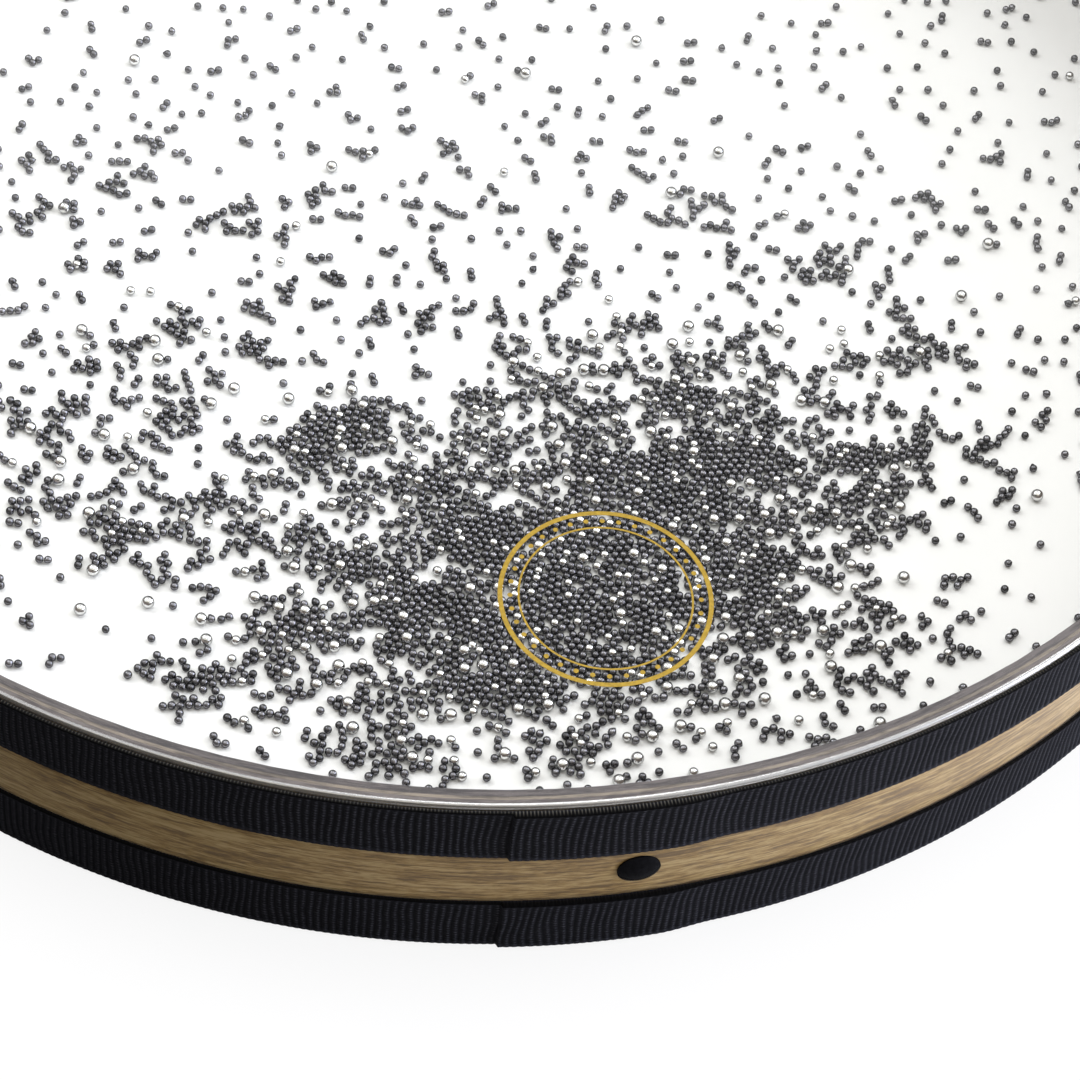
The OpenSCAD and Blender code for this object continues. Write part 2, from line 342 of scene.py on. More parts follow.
def clear_film():
    """Thin clear film: what is behind it shows, under a weak gloss that gathers on the bent edge."""
    material, tree = new_material("clear_film")
    see = add(tree, "ShaderNodeBsdfTransparent", Color=(0.99, 0.992, 0.99, 1))
    gloss = add(tree, "ShaderNodeBsdfGlossy", Roughness=0.26)
    facing = add(tree, "ShaderNodeFresnel", IOR=1.45)
    _, _, radius = hoop_axes(tree)
    bend = (drum_r - SHOULDER_R, drum_r - BENT_SHARE * SHOULDER_R)
    bent = map_range(tree, radius, bend, To_Max=BENT_GLOSS)
    share = calc(tree, "MULTIPLY_ADD", (facing, "Fac"), FLAT_GLOSS, bent)
    show(tree, *mix_shaders(tree, share, (see, "BSDF"), (gloss, "BSDF")))
    return material


def plain(name, dark, light, tone_scale, marks_scale, marks_detail, strength, distance, **values):
    """An even stuff whose tone wanders from dark to light, with fine marks on its surface."""
    material, tree = new_material(name)
    tone = ramp(tree, noise_over(tree, tone_scale, 3.0), (0.3, dark), (0.7, light))
    marks = noise_over(tree, marks_scale, marks_detail)
    shader = add(tree, "ShaderNodeBsdfPrincipled", Base_Color=tone, **values)
    bump(tree, shader, marks, strength, distance)
    show(tree, shader)
    return material


def shot_metal(name, dark, light, rim, roughness, metallic, marks_scale, marks_strength):
    """Ball metal: each ball has its own tone and small marks over it, and painted shade darkens its rim
    where it turns away from the view.
    """
    material, tree = new_material(name)
    marks = noise_over(tree, marks_scale, 3.0)
    swing = calc(tree, "MULTIPLY_ADD", marks, MARKS_TONE, -MARKS_TONE / 2)
    colour = ramp(tree, calc(tree, "ADD", attribute(tree, "tone"), swing), (0.0, dark), (1.0, light))
    # Painted shade: colour and edge tint darken towards the rim, where the ball turns from the view
    turned = add(tree, "ShaderNodeLayerWeight", Blend=0.5)
    painted_rim_shade = ramp(tree, (turned, "Facing"), (0.25, (1, 1, 1)), (0.7, (rim, rim, rim)))
    shader = add(
        tree, "ShaderNodeBsdfPrincipled",
        Base_Color=mix(tree, "RGBA", 1.0, colour, painted_rim_shade, blend_type="MULTIPLY"),
        Roughness=calc(tree, "MULTIPLY_ADD", marks, MARKS_SHINE, roughness - MARKS_SHINE / 2),
        Metallic=metallic, Specular_Tint=(rim, rim, rim, 1),
    )
    bump(tree, shader, marks, marks_strength, FINE_BUMP)
    show(tree, shader)
    return material


FACE_WOOD = wood(
    "face_wood", ((0.165, 0.086, 0.010), (0.355, 0.205, 0.042), (0.55, 0.385, 0.155)),
    ((0.055, 0.044, 0.044), (0.15, 0.128, 0.122)),
)
CORE_WOOD = wood(
    "core_wood", ((0.30, 0.22, 0.13), (0.45, 0.35, 0.23), (0.58, 0.48, 0.34)),
    ((0.10, 0.082, 0.068), (0.25, 0.21, 0.165)),
)
INNER_WOOD = wood(
    "inner_wood", ((0.09, 0.07, 0.055), (0.15, 0.12, 0.10), (0.22, 0.18, 0.15)),
    ((0.045, 0.038, 0.039), (0.12, 0.102, 0.10)),
)
RIBBON = ribbon_cloth()
CLEAR = clear_film()
WHITE = plain(
    "white_film", (0.86, 0.862, 0.85), (0.89, 0.888, 0.875), tone_scale=14.0,
    marks_scale=1800.0, marks_detail=2.0, strength=0.08, distance=FINE_BUMP, Roughness=0.42,
)
GOLD = plain(
    "gold_ink", (0.28, 0.175, 0.008), (0.40, 0.26, 0.02), tone_scale=900.0,
    marks_scale=900.0, marks_detail=3.0, strength=0.15, distance=FINE_BUMP / 2, Roughness=0.5, Metallic=0.2,
)
PLASTIC = plain(
    "plug_plastic", (0.004, 0.004, 0.005), (0.008, 0.008, 0.010), tone_scale=700.0,
    marks_scale=700.0, marks_detail=3.0, strength=0.1, distance=FINE_BUMP,
    Roughness=0.25, Specular_IOR_Level=0.03,
)
STEEL = shot_metal(
    "bright_steel", (0.70, 0.70, 0.69), (0.88, 0.88, 0.87), rim=0.45,
    roughness=0.12, metallic=1.0, marks_scale=500.0, marks_strength=0.04,
)
DARK = shot_metal(
    "dark_shot", (0.09, 0.089, 0.095), (0.27, 0.265, 0.285), rim=0.2,
    roughness=0.24, metallic=0.9, marks_scale=900.0, marks_strength=0.35,
)

# Meshes

# Points in metres that are no further apart than this are one
SAME_PLACE = 1e-9


def new_piece(name, points, faces, material, body, replaced=()):
    mesh = bpy.data.meshes.new(name)
    mesh.vertices.add(len(points))
    mesh.vertices.foreach_set("co", np.asarray(points, np.float32).ravel())
    faces = np.asarray(faces, np.int32)
    mesh.loops.add(faces.size)
    mesh.loops.foreach_set("vertex_index", faces.ravel())
    mesh.polygons.add(len(faces))
    mesh.polygons.foreach_set("loop_start", np.arange(len(faces), dtype=np.int32) * faces.shape[1])
    mesh.polygons.foreach_set("use_smooth", np.ones(len(faces), bool))
    mesh.update(calc_edges=True)
    mesh.materials.append(material)
    piece = bpy.data.objects.new(name, mesh)
    bpy.context.scene.collection.objects.link(piece)
    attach(piece, body)
    if replaced:
        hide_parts(*replaced)
    return piece


def drum_skin(node, points, faces, material):
    """A closed skin in place of one of the drum's nodes, with all its faces turned outwards."""
    piece = new_piece(node + "_skin", points, faces, material, "drum", (node,))
    work = bmesh.new()
    work.from_mesh(piece.data)
    bmesh.ops.dissolve_degenerate(work, dist=SAME_PLACE, edges=work.edges)
    bmesh.ops.recalc_face_normals(work, faces=work.faces)
    work.to_mesh(piece.data)
    work.free()
    return piece


def point_values(piece, name, values):
    """Gives each point of a piece a value that its material reads."""
    values = np.ascontiguousarray(values, np.float32)
    piece.data.attributes.new(name, "FLOAT", "POINT").data.foreach_set("value", values.ravel())


def round_points(r, angle, z):
    """Points at those distances from the axis, angles and heights."""
    r, angle, z = np.broadcast_arrays(r, angle, z)
    return np.stack([r * np.cos(angle), r * np.sin(angle), z], -1)


def grid_faces(columns, rows):
    """Quads of a closed tube of rings: columns round, rows along the section, closed both ways."""
    c = np.arange(columns)[:, None]
    r = np.arange(rows)[None, :]
    next_c, next_r = (c + 1) % columns, (r + 1) % rows
    return np.stack([c * rows + r, next_c * rows + r, next_c * rows + next_r, c * rows + next_r], -1)


# Film heads

HEAD_COLUMNS = 384
BEND_STEPS = 12
FLAT_SHARES = (0.02, 0.25, 0.5, 0.75, 0.95)
COLLAR_SHARES = (0.05, 0.5, 1.0)


def bend_points(flat_r, radius, start, end):
    """Section of the shoulder, from one angle in degrees to another."""
    angles = np.radians(np.linspace(start, end, BEND_STEPS + 1))
    return [(flat_r + radius * math.cos(a), -SHOULDER_R + radius * math.sin(a)) for a in angles]


def film_head(name, face_z, collar_z, material):
    """A film disc that turns over the hoop's rounded edge into a collar, as one closed skin."""
    up = 1 if face_z > collar_z else -1
    top = face_z - up * HAIR
    skin_t = film_t - 4 * HAIR
    flat_r = drum_r - SHOULDER_R
    drop = abs(face_z - collar_z) - SHOULDER_R
    collar = [-SHOULDER_R - drop * share for share in COLLAR_SHARES]
    section = [(flat_r * share, 0.0) for share in FLAT_SHARES]
    section += bend_points(flat_r, SHOULDER_R, 90, 0)
    section += [(drum_r, z) for z in collar]
    section += [(drum_r - skin_t, z) for z in reversed(collar)]
    section += bend_points(flat_r, SHOULDER_R - skin_t, 0, 90)
    section += [(flat_r * share, -skin_t) for share in reversed(FLAT_SHARES)]
    section_r, section_z = np.array(section).T
    rows = len(section)
    angles = np.arange(HEAD_COLUMNS) * TURN / HEAD_COLUMNS
    points = round_points(section_r, angles[:, None], top + up * section_z).reshape(-1, 3)
    walls = grid_faces(HEAD_COLUMNS, rows)[:, : rows - 1].reshape(-1, 4)
    # Two fans of triangles close the middle, each triangle as a quad with a doubled corner
    first = np.arange(HEAD_COLUMNS) * rows
    following = np.roll(first, -1)
    outer_middle = np.full(HEAD_COLUMNS, len(points))
    inner_middle = outer_middle + 1
    fans = np.concatenate([
        np.stack([outer_middle, following, first, first], -1),
        np.stack([inner_middle, first + rows - 1, following + rows - 1, following + rows - 1], -1),
    ])
    points = np.vstack([points, (0, 0, top), (0, 0, top - up * skin_t)])
    drum_skin(name, points, np.vstack([walls, fans]), material)


# Ribbons

RIB_COLUMNS = 8
RIB_ROWS = 12
RIB_DEPTH = 0.32 * MM
# Ribs lie flatter towards the ribbon's edges: their depth at an edge, and how far in it is full
RIB_EDGE_DEPTH = 0.25
RIB_EDGE_SHARE = 0.1
# How far a rib bows, in radians of the ribs' wave, and how often and how much that changes round the drum
RIB_BOW = 2.0
BOW_WAVES = 5
BOW_CHANGE = 0.4
# How the ribs wander: by a few waves round the drum that lean to and fro up the ribbon
WANDER = 0.45
WANDER_WAVES = 5
WANDER_COUNTS = (20, 90)
WANDER_PHASE = 6.28
WANDER_LEAN = 2.2
WANDER_TWIST = 3
# Where on a rib its painted highlight lies, in radians of the ribs' wave, and how sharp and how strong that
# is
HIGHLIGHT_SIDE = 0.9
HIGHLIGHT_SHARPNESS = 5
HIGHLIGHT_SHARE = 0.65
# Dark strip along the upper edge, and how far the edges are drawn in between the ribs
EDGE_SHARE = 0.02
SCALLOP = 0.08 * MM
STITCH_SHOWS = {"top_ribbon": 1.0, "bottom_ribbon": 0.35}
# The doubled stretch, measured from the plug, with the slope of its cut end and of its climb
LAP_LEFT = 38 * MM
LAP_RIGHT = 8 * MM
LAP_CUT_RAMP = 0.8 * MM
LAP_CLIMB_RAMP = 18 * MM


def smooth(x):
    x = np.clip(x, 0, 1)
    return x * x * (3 - 2 * x)


def lap_height(arc):
    """How much of a second thickness lies at an arc length to the right of the plug, from 0 to 1."""
    rises = smooth((arc + LAP_LEFT + LAP_CUT_RAMP) / LAP_CUT_RAMP)
    falls = 1 - smooth((arc - LAP_RIGHT) / LAP_CLIMB_RAMP)
    return rises * falls


def ribbon(name, seed):
    """A turn of ribbed ribbon whose ribs bow and wander, with the doubled stretch beside the plug."""
    low, high = node_height(name)
    ribs = round(TURN * ribbon_r / RIB_PITCH)
    columns = ribs * RIB_COLUMNS
    angle = np.arange(columns) * TURN / columns
    # Distance round the drum to the right of the plug, which faces -Y
    arc = ((angle + 0.75 * TURN) % TURN - TURN / 2) * ribbon_r
    outer_r = ribbon_r + ribbon_t * lap_height(arc)
    shares = np.append(np.linspace(0, 1 - 1.5 * EDGE_SHARE, RIB_ROWS), (1 - EDGE_SHARE, 1))
    rows = len(shares) + 2
    points = np.zeros((columns, rows, 3))
    crest = np.zeros((columns, rows))
    upper_edge = np.ones((columns, rows))
    seam = np.zeros((columns, rows))
    # The last two rows are the upper and the lower edge of the flat inner side
    seam[:, -2] = STITCH_SHOWS[name]
    rng = np.random.default_rng(seed)
    waves = [
        (rng.integers(*WANDER_COUNTS), rng.uniform(0, WANDER_PHASE), rng.uniform(0, WANDER_PHASE))
        for _ in range(WANDER_WAVES)
    ]
    bow = RIB_BOW * (1 - BOW_CHANGE + BOW_CHANGE * np.sin(BOW_WAVES * angle + seed))
    for k, share in enumerate(shares):
        wander = sum(
            np.sin(count * angle + shift + WANDER_LEAN * math.sin(WANDER_TWIST * share + lean))
            for count, shift, lean in waves
        )
        phase = ribs * angle + bow * (1 - (2 * share - 1) ** 2) + WANDER * wander
        crown = 0.5 + 0.5 * np.cos(phase)
        # Painted light for the cloth's colour: a highlight on one flank of each rib, and shade in the
        # grooves between ribs
        light = (0.5 + 0.5 * np.cos(phase - HIGHLIGHT_SIDE)) ** HIGHLIGHT_SHARPNESS
        crest[:, k] = (1 - HIGHLIGHT_SHARE) * crown ** 0.5 + HIGHLIGHT_SHARE * light
        upper_edge[:, k] = share > 1 - 1.2 * EDGE_SHARE
        edge = min(share, 1 - share)
        full = RIB_EDGE_DEPTH + (1 - RIB_EDGE_DEPTH) * smooth(edge / RIB_EDGE_SHARE)
        r = outer_r - RIB_DEPTH * full * (1 - crown ** 0.5)
        pull = SCALLOP * (1 - crown) * (1 - 2 * share) if edge < EDGE_SHARE / 2 else 0
        points[:, k] = round_points(r, angle, low + (high - low) * share + pull)
    points[:, -2] = round_points(ribbon_r - ribbon_t, angle, high)
    points[:, -1] = round_points(ribbon_r - ribbon_t, angle, low)
    quads = grid_faces(columns, rows).reshape(-1, 4)
    piece = drum_skin(name, points.reshape(-1, 3), quads, RIBBON)
    point_values(piece, "crest", crest)
    point_values(piece, "edge", upper_edge)
    point_values(piece, "seam", seam)


film_head("clear_head", drum_top, clear_collar_low, CLEAR)
film_head("white_head", 0.0, white_collar_top, WHITE)
ribbon("top_ribbon", 3)
ribbon("bottom_ribbon", 8)

# Carried nodes


def dress(node, material):
    data = frame["nodes"][node].data
    data.materials.clear()
    data.materials.append(material)


dress("outer_ply", FACE_WOOD)
dress("core_ply", CORE_WOOD)
dress("inner_ply", INNER_WOOD)
dress("fill_plug", PLASTIC)
dress("head_print", GOLD)

# Shot: where it lies, in millimetres

# How far out balls are laid, and how far out they may reach
FIELD_R = 268.5
WALL_R = 270.5
FLOOR_Z = 0.35
DARK_R = 1.3
SMALL_STEEL_R = 1.5
# Least distance between balls that lie in a heap, and to balls that must stay free
BALL_GAP = 0.03
APART_GAP = 0.3
# Side of the squares in which balls are found, and of those in which the head is filled
TRAY_SQUARE = 5
FILL_SQUARE = 8.0
TOUCH_REACH = 5
ROLL_REACH = 6.5
ROLL_TRIES = 60
FILL_SEED = 41
# Overlap that still counts as free, and gap that still counts as touching
TOUCH_SLACK = 1e-4
BESIDE_SLACK = 0.01
TINY = 1e-6
SETTLE_REACH = 4.2
# Settling: overlap that a ball may have at the end of each round, steps of a round, and steps between
# two looks at who lies beside whom
SETTLE_ROUNDS = (0.8, 0.6, 0.45, 0.35, 0.28, 0.22, 0.18, 0.15, 0.12, 0.12, 0.12)
ROUND_STEPS = 24
STEPS_A_LOOK = 8
# Gathered shot as read off the photograph: x, y, half width and half height in millimetres, and the
# share of the head that is covered
POOLS = [
    # heap in the middle
    (-25, -124, 16, 13, 0.74), (-8, -136, 15, 14, 0.92), (20, -136, 20, 16, 0.95), (42, -142, 16, 14, 0.90),
    (14, -162, 20, 16, 0.90), (40, -166, 16, 14, 0.88), (14, -182, 18, 11, 0.84), (-12, -168, 12, 14, 0.92),
    (-27, -166, 7, 15, 0.90), (-45, -155, 8, 14, 0.92), (-30, -187, 11, 9, 0.85), (-10, -191, 11, 8, 0.74),
    (60, -151, 14, 11, 0.78), (71, -161, 12, 12, 0.70), (66, -176, 11, 10, 0.70), (60, -127, 13, 9, 0.80),
    (50, -116, 15, 10, 0.90), (26, -108, 13, 9, 0.85), (68, -109, 11, 11, 0.86), (82, -106, 8, 8, 0.70),
    (86, -119, 10, 7, 0.72), (76, -136, 11, 8, 0.48), (90, -140, 12, 8, 0.50), (88, -155, 8, 8, 0.46),
    (4, -109, 9, 7, 0.70), (97, -108, 5, 7, 0.50), (98, -130, 4, 7, 0.50), (97, -165, 7, 8, 0.42),
    # its right shore
    (113, -116, 12, 7, 0.88), (129, -119, 8, 5, 0.80), (115, -133, 10, 8, 0.74), (112, -145, 10, 6, 0.66),
    (103, -105, 4, 7, 0.50), (122, -96, 15, 4, 0.58), (136, -107, 5, 8, 0.55), (105, -88, 5, 9, 0.60),
    (123, -79, 13, 4, 0.60), (145, -74, 9, 6, 0.62), (141, -57, 3, 5, 0.60), (158, -78, 4, 4, 0.50),
    (152, -115, 8, 6, 0.36), (162, -113, 8, 3, 0.40), (154, -126, 4, 5, 0.40), (176, -106, 9, 4, 0.30),
    (153, -141, 4, 4, 0.60), (162, -130, 3, 5, 0.40), (132, -137, 8, 10, 0.16), (103, -177, 7, 5, 0.72),
    # above the heap
    (62, -83, 12, 7, 0.90), (60, -72, 9, 5, 0.58), (70, -92, 11, 6, 0.52), (31, -88, 12, 10, 0.62),
    (10, -92, 9, 8, 0.40), (14, -74, 9, 8, 0.68), (-8, -77, 8, 7, 0.72), (-9, -90, 8, 7, 0.60),
    (9, -58, 8, 5, 0.36), (4, -49, 6, 3, 0.48), (31, -58, 6, 5, 0.46), (22, -50, 5, 4, 0.36),
    (51, -54, 11, 4, 0.62), (45, -66, 6, 5, 0.50), (73, -70, 5, 5, 0.50), (86, -67, 7, 8, 0.52),
    (95, -60, 4, 7, 0.50), (79, -54, 3, 4, 0.40), (94, -78, 4, 4, 0.40), (85, -89, 7, 7, 0.56),
    (28, -34, 5, 5, 0.40), (38, -17, 4, 7, 0.46), (46, -30, 6, 2, 0.50), (65, -48, 6, 3, 0.40),
    (42, -71, 7, 5, 0.30), (55, -97, 8, 6, 0.50), (92, -100, 6, 6, 0.35),
    # left lobe
    (-50, -81, 14, 9, 0.90), (-61, -88, 10, 8, 0.84), (-77, -84, 10, 5, 0.56), (-39, -74, 7, 4, 0.52),
    (-31, -82, 5, 6, 0.52), (-81, -97, 12, 5, 0.54), (-35, -95, 10, 5, 0.46), (-31, -106, 11, 6, 0.84),
    (-11, -101, 10, 8, 0.68), (-55, -113, 11, 8, 0.46), (-74, -126, 9, 7, 0.58), (-48, -135, 12, 10, 0.58),
    (-61, -138, 10, 9, 0.66), (-66, -98, 8, 4, 0.50),
    # lower left lobe
    (-81, -154, 12, 8, 0.66), (-70, -160, 12, 7, 0.74), (-88, -168, 10, 8, 0.54), (-109, -172, 14, 6, 0.62),
    (-123, -164, 6, 7, 0.36), (-85, -177, 8, 6, 0.62), (-119, -184, 4, 3, 0.50), (-88, -188, 7, 6, 0.42),
    (-106, -190, 8, 7, 0.16), (-65, -184, 10, 8, 0.58), (-50, -189, 9, 9, 0.62), (-60, -205, 15, 9, 0.66),
    (-46, -170, 9, 10, 0.66), (-28, -152, 9, 7, 0.70), (-42, -150, 7, 7, 0.50), (-30, -171, 8, 7, 0.60),
    (-114, -179, 9, 7, 0.50), (-52, -104, 8, 6, 0.40),
    (-76, -203, 5, 6, 0.40), (-46, -216, 8, 6, 0.42), (-105, -152, 7, 4, 0.44), (-97, -143, 5, 4, 0.15),
    # along the near rim
    (-20, -200, 9, 5, 0.50), (-6, -214, 9, 7, 0.60), (-25, -212, 9, 7, 0.30), (60, -191, 9, 6, 0.56),
    (78, -180, 8, 7, 0.38), (90, -185, 6, 5, 0.42), (98, -190, 4, 5, 0.42), (36, -198, 12, 5, 0.62),
    (10, -200, 9, 5, 0.60), (20, -211, 6, 5, 0.40), (4, -213, 7, 7, 0.60), (35, -212, 10, 6, 0.32),
    (40, -184, 8, 7, 0.60), (50, -203, 9, 8, 0.48), (56, -224, 9, 5, 0.34),
    (86, -203, 12, 4, 0.50), (98, -207, 5, 5, 0.42), (70, -219, 8, 4, 0.42), (110, -190, 6, 5, 0.38),
    (125, -197, 6, 4, 0.42), (127, -186, 3, 4, 0.50), (127, -170, 5, 5, 0.32), (16, -226, 6, 4, 0.30),
    (87, -188, 7, 6, 0.35), (121, -192, 6, 5, 0.30), (15, -199, 8, 6, 0.50), (11, -217, 6, 5, 0.30),
    # thin shot at the left
    (-142, 22, 7, 9, 0.36), (-114, 33, 8, 6, 0.24), (-104, 43, 5, 6, 0.12), (-134, 47, 5, 4, 0.32),
    (-121, 47, 4, 5, 0.32), (-83, 13, 7, 5, 0.52), (-64, 5, 5, 4, 0.50), (-70, 18, 3, 5, 0.42),
    (-42, 19, 5, 5, 0.70), (-114, -1, 9, 4, 0.52), (-8, 9, 6, 6, 0.38), (-9, 0, 6, 2, 0.44),
    (-71, -8, 3, 5, 0.34), (-48, -11, 4, 5, 0.34), (-47, -21, 4, 5, 0.34), (-13, -16, 6, 4, 0.34),
    (-26, -14, 5, 2, 0.32), (-75, -25, 8, 4, 0.46), (-59, -18, 3, 4, 0.42), (-55, -27, 6, 4, 0.24),
    (-32, -36, 9, 5, 0.46), (-9, -35, 8, 5, 0.28), (-75, -45, 5, 4, 0.76), (-66, -52, 6, 3, 0.30),
    (-101, -39, 7, 4, 0.62), (-97, -28, 4, 5, 0.40), (-119, -38, 5, 9, 0.50), (-130, -44, 6, 4, 0.42),
    (-143, -34, 4, 5, 0.34), (-158, -57, 6, 5, 0.42), (-155, -66, 6, 6, 0.40), (-137, -65, 10, 8, 0.38),
    (-122, -61, 6, 6, 0.38), (-105, -66, 7, 10, 0.50), (-146, -77, 7, 7, 0.42), (-118, -84, 8, 4, 0.52),
    (-133, -80, 9, 5, 0.22), (-160, -88, 4, 5, 0.36), (-104, -76, 6, 4, 0.42), (-92, -58, 6, 7, 0.28),
    (-150, -100, 14, 5, 0.50), (-131, -112, 8, 9, 0.60), (-118, -100, 9, 5, 0.42), (-136, -124, 6, 4, 0.34),
    (-100, -106, 9, 6, 0.48), (-89, -113, 7, 8, 0.50), (-116, -134, 8, 4, 0.56), (-101, -127, 6, 5, 0.36),
    (-108, -142, 3, 4, 0.36), (-94, -131, 3, 3, 0.40), (-108, -117, 7, 6, 0.44), (-128, -2, 7, 5, 0.30),
    (-22, -41, 6, 4, 0.30), (-140, 52, 7, 6, 0.22), (-120, 46, 6, 5, 0.20), (-98, 48, 9, 6, 0.24),
    (-103, 38, 7, 4, 0.20), (-48, 42, 8, 4, 0.22), (-30, 36, 8, 5, 0.22), (-70, 18, 9, 6, 0.20),
    (-36, 12, 8, 5, 0.20), (20, 8, 7, 5, 0.20), (-124, 22, 7, 6, 0.25), (-147, -23, 8, 6, 0.22),
    (-95, -30, 7, 6, 0.25), (-115, -50, 7, 6, 0.25), (-154, -90, 7, 6, 0.30), (-120, -95, 7, 5, 0.30),
    (-156, -112, 7, 6, 0.30), (-123, -117, 9, 8, 0.50), (-89, -121, 8, 6, 0.35), (-72, -123, 8, 6, 0.30),
    # thin shot at the right
    (68, 22, 4, 8, 0.26), (87, 5, 6, 5, 0.46), (57, 6, 5, 4, 0.36), (79, -4, 8, 4, 0.50),
    (90, -15, 8, 4, 0.36),
    (94, -26, 3, 6, 0.40), (105, -30, 4, 5, 0.52), (121, -37, 7, 5, 0.66), (130, -28, 9, 5, 0.40),
    (118, -10, 5, 4, 0.32), (93, -39, 7, 5, 0.26), (130, -49, 11, 2, 0.36), (139, -46, 4, 3, 0.56),
    (161, -7, 6, 4, 0.46), (8, -6, 3, 3, 0.66), (194, 11, 4, 3, 0.46), (184, 14, 3, 4, 0.46),
    (184, -46, 2, 5, 0.46), (14, 15, 5, 4, 0.30), (3, 36, 3, 6, 0.46), (165, -18, 12, 6, 0.14),
    (190, -18, 8, 5, 0.18), (11, -44, 8, 7, 0.34), (44, 30, 6, 4, 0.18), (119, 18, 6, 5, 0.16),
]
STRAY_COVER = 0.04
MOST_COVER = 0.82
# How far a pool reaches in squared half widths, and how much of its cover counts
POOL_REACH = 4
POOL_SHARE = 0.94
# Shot lies in clumps, as wide as this and with this much more or less cover
CLUMP_SIZE = 7
CLUMP_SHARE = 0.25
CLUMP_LAYER = 9.1
# Where the shot lies thickest it has packed itself in rows, with a gap here and there
HEAP_COVER = 0.70
ROW_PITCH = 2.68
ROW_TURN = math.radians(-17)
ROW_WARP = 0.9
ROW_WARP_SIZE = 22
ROW_WARP_LAYERS = (3.3, 7.7)
ROW_GAPS = 0.03
ROW_CLEAR = 3.4
ROW_OVERLAP = 0.5
ROW_SIZES = (0.95, 1.03)
LOOSE_SIZES = (0.95, 1.05)
STEEL_SHARE = 0.07


def node_balls(node):
    """Centre and radius of each ball of a node."""
    mesh = frame["nodes"][node].data
    count = len(mesh.vertices)
    places = np.zeros(count * 3)
    mesh.vertices.foreach_get("co", places)
    places = places.reshape(-1, 3) / MM
    parent = list(range(count))

    def root(k):
        while parent[k] != k:
            parent[k] = parent[parent[k]]
            k = parent[k]
        return k

    for edge in mesh.edges:
        a, b = root(edge.vertices[0]), root(edge.vertices[1])
        if a != b:
            parent[a] = b
    islands = {}
    for k in range(count):
        islands.setdefault(root(k), []).append(k)
    balls = {}
    for members in islands.values():
        low, high = places[members].min(0), places[members].max(0)
        x, y, _ = (low + high) / 2
        balls[(round(x, 1), round(y, 1))] = (x, y, (high[2] - low[2]) / 2)
    return sorted(balls.values())


def drift(x, y, size, layer):
    """Smooth noise on plan with humps of that size."""
    return noise.noise(Vector((x / size, y / size, layer)))


def cover(x, y):
    """Share of the head that shot covers near a place."""
    bare = 1 - STRAY_COVER
    for px, py, wide, tall, full in POOLS:
        far = ((x - px) / wide) ** 2 + ((y - py) / tall) ** 2
        if far < POOL_REACH:
            bare *= 1 - POOL_SHARE * full / (1 + far ** 3)
    clump = CLUMP_SHARE * drift(x, y, CLUMP_SIZE, CLUMP_LAYER)
    return max(0.0, (1 - bare) * (1 + clump))


class Tray:
    """The balls on the white head, with their neighbours found by squares."""

    def __init__(self):
        self.balls = []
        self.squares = {}

    def square(self, x, y):
        return int(x // TRAY_SQUARE), int(y // TRAY_SQUARE)

    def add(self, x, y, r, kind):
        self.squares.setdefault(self.square(x, y), []).append(len(self.balls))
        self.balls.append((x, y, r, kind))

    def near(self, x, y, reach):
        n = int(reach // TRAY_SQUARE) + 1
        cx, cy = self.square(x, y)
        for i in range(cx - n, cx + n + 1):
            for j in range(cy - n, cy + n + 1):
                for k in self.squares.get((i, j), ()):
                    yield self.balls[k]

    def spacing(self, r, ball):
        """Distance on plan at which a ball of radius r touches another one, both lying on the head."""
        if ball[3] == "apart":
            return r + ball[2] + APART_GAP
        return 2 * math.sqrt(r * ball[2]) + BALL_GAP

    def free(self, x, y, r):
        if math.hypot(x, y) > WALL_R - r:
            return False
        for ball in self.near(x, y, TOUCH_REACH):
            least = self.spacing(r, ball)
            if (ball[0] - x) ** 2 + (ball[1] - y) ** 2 < (least - TOUCH_SLACK) ** 2:
                return False
        return True

    def nearest(self, x, y, reach):
        found, best = None, reach * reach
        for ball in self.near(x, y, reach):
            d = (ball[0] - x) ** 2 + (ball[1] - y) ** 2
            if d < best:
                found, best = ball, d
        return found

    def add_if_free(self, x, y, r, kind):
        free = self.free(x, y, r)
        if free:
            self.add(x, y, r, kind)
        return free


def touch_two(x, y, r, tray, a, b):
    """Place near (x, y) where a ball of radius r touches both a and b, or None."""
    ra, rb = tray.spacing(r, a), tray.spacing(r, b)
    dx, dy = b[0] - a[0], b[1] - a[1]
    d = math.hypot(dx, dy)
    if d < TINY or d > ra + rb:
        return None
    along = (ra * ra - rb * rb + d * d) / (2 * d)
    high = ra * ra - along * along
    if high < 0:
        return None
    high = math.sqrt(high)
    mx, my = a[0] + along * dx / d, a[1] + along * dy / d
    spots = [(mx - high * dy / d, my + high * dx / d), (mx + high * dy / d, my - high * dx / d)]
    return min(spots, key=lambda s: (s[0] - x) ** 2 + (s[1] - y) ** 2)


def roll_in(tray, x, y, r, kind):
    """Rolls a ball from (x, y) against its nearest neighbours. True if it found room."""
    a = tray.nearest(x, y, ROLL_REACH)
    if a is None:
        return tray.add_if_free(x, y, r, kind)
    d = math.hypot(x - a[0], y - a[1]) or TINY
    gap = tray.spacing(r, a)
    nx, ny = a[0] + (x - a[0]) / d * gap, a[1] + (y - a[1]) / d * gap
    if tray.add_if_free(nx, ny, r, kind):
        return True
    for b in list(tray.near(nx, ny, TOUCH_REACH)):
        if b is a or math.hypot(b[0] - nx, b[1] - ny) > tray.spacing(r, b) + BESIDE_SLACK:
            continue
        spot = touch_two(x, y, r, tray, a, b)
        if spot and tray.add_if_free(*spot, r, kind):
            return True
    return False


